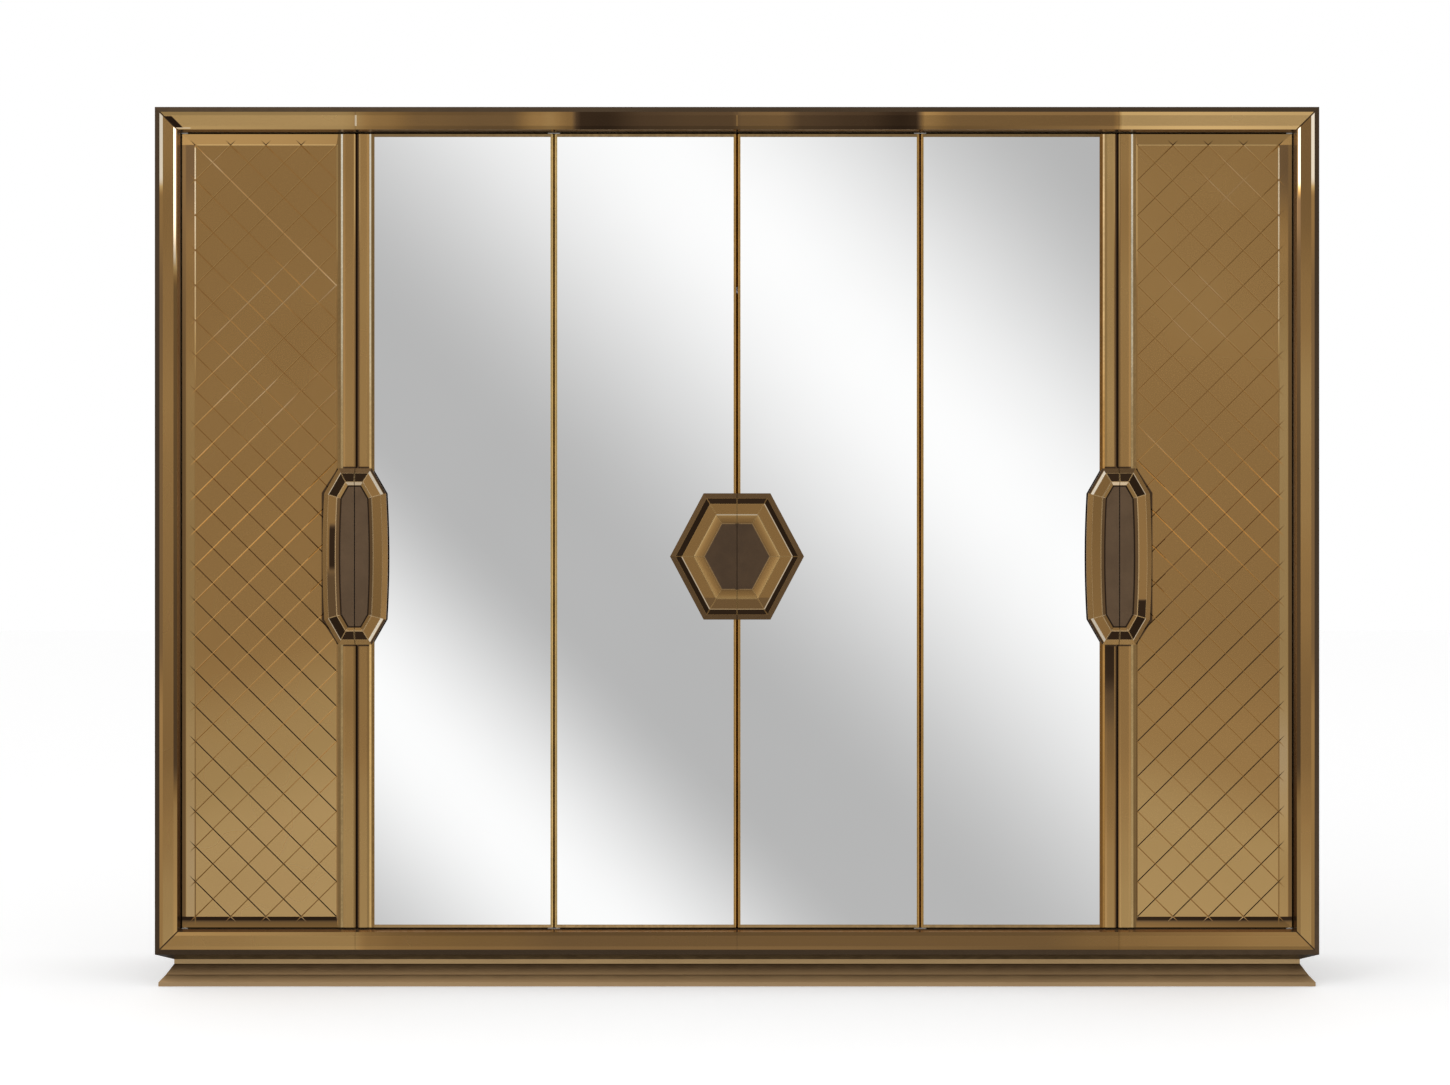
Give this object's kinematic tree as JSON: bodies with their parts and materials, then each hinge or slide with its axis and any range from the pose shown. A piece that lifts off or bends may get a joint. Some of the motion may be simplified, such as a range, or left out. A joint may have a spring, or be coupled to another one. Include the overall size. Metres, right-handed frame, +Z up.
{
  "type": "armoire",
  "caption": "Wide hinged-door armoire in bronze mirror glass: bevelled picture frame, lattice-cut end doors, silver mirror doors, split faceted pulls and hanging space inside.",
  "frame": {"origin": "on the floor, under the middle of the whole armoire's box", "axes": "+Z up, doors face -Y, +X to the right as seen from the front"},
  "size_m": [3.176, 0.648, 2.4],
  "materials": {
    "bronze_lacquer": "dark bronze metallic lacquer on wood, polished",
    "side_lacquer": "dark bronze metallic lacquer on board, satin",
    "interior_wood": "brown veneered board, satin",
    "back_board": "plain brown faced board, matt",
    "door_core": "dark brown board with satin edges",
    "bronze_glass": "bronze tinted mirror glass with polished bevels",
    "silver_mirror": "clear silvered mirror glass",
    "brass": "satin polished brass",
    "plaque_lacquer": "brown satin lacquer",
    "chrome": "polished chrome",
    "steel": "plain turned steel"
  },
  "bodies": {
    "carcass": {"plinth": "bronze_lacquer", "frame_bottom": "bronze_lacquer", "frame_top": "bronze_lacquer", "frame_left": "bronze_lacquer", "frame_right": "bronze_lacquer", "frame_glass": "bronze_glass", "side_left": "side_lacquer", "side_right": "side_lacquer", "partition_left": "interior_wood", "partition_right": "interior_wood", "carcass_top": "side_lacquer", "carcass_floor": "interior_wood", "back_panels": "back_board", "upper_shelves": "interior_wood", "hanging_rails": "chrome", "pivot_pins": "steel"},
    "door_1": {"door_1_core": "door_core", "door_1_pivot_bushes": "brass", "door_1_pull_body": "bronze_lacquer", "door_1_pull_glass": "bronze_glass", "door_1_pull_plaque": "plaque_lacquer", "door_1_lattice_glass": "bronze_glass", "door_1_bead": "brass"},
    "door_2": {"door_2_core": "door_core", "door_2_pivot_bushes": "brass", "door_2_pull_body": "bronze_lacquer", "door_2_pull_glass": "bronze_glass", "door_2_pull_plaque": "plaque_lacquer", "door_2_strip_glass": "bronze_glass", "door_2_trim": "brass", "door_2_mirror": "silver_mirror"},
    "door_3": {"door_3_core": "door_core", "door_3_pivot_bushes": "brass", "door_3_pull_body": "bronze_lacquer", "door_3_pull_glass": "bronze_glass", "door_3_pull_plaque": "plaque_lacquer", "door_3_trim": "brass", "door_3_mirror": "silver_mirror"},
    "door_4": {"door_4_core": "door_core", "door_4_pivot_bushes": "brass", "door_4_pull_body": "bronze_lacquer", "door_4_pull_glass": "bronze_glass", "door_4_pull_plaque": "plaque_lacquer", "door_4_trim": "brass", "door_4_mirror": "silver_mirror"},
    "door_5": {"door_5_core": "door_core", "door_5_pivot_bushes": "brass", "door_5_pull_body": "bronze_lacquer", "door_5_pull_glass": "bronze_glass", "door_5_pull_plaque": "plaque_lacquer", "door_5_strip_glass": "bronze_glass", "door_5_trim": "brass", "door_5_mirror": "silver_mirror"},
    "door_6": {"door_6_core": "door_core", "door_6_pivot_bushes": "brass", "door_6_pull_body": "bronze_lacquer", "door_6_pull_glass": "bronze_glass", "door_6_pull_plaque": "plaque_lacquer", "door_6_lattice_glass": "bronze_glass", "door_6_bead": "brass"}
  },
  "joints": [
    {"name": "door_1_swing", "type": "hinge", "parent": "carcass", "child": "door_1", "pos_m": [-1.508, -0.278, 0.158], "axis": [0, 0, -1], "range_deg": [0, 105]},
    {"name": "door_2_swing", "type": "hinge", "parent": "carcass", "child": "door_2", "pos_m": [-0.5085, -0.278, 0.158], "axis": [0, 0, 1], "range_deg": [0, 84]},
    {"name": "door_3_swing", "type": "hinge", "parent": "carcass", "child": "door_3", "pos_m": [-0.4915, -0.278, 0.158], "axis": [0, 0, -1], "range_deg": [0, 84]},
    {"name": "door_4_swing", "type": "hinge", "parent": "carcass", "child": "door_4", "pos_m": [0.4915, -0.278, 0.158], "axis": [0, 0, 1], "range_deg": [0, 84]},
    {"name": "door_5_swing", "type": "hinge", "parent": "carcass", "child": "door_5", "pos_m": [0.5085, -0.278, 0.158], "axis": [0, 0, -1], "range_deg": [0, 84]},
    {"name": "door_6_swing", "type": "hinge", "parent": "carcass", "child": "door_6", "pos_m": [1.508, -0.278, 0.158], "axis": [0, 0, 1], "range_deg": [0, 105]}
  ]
}
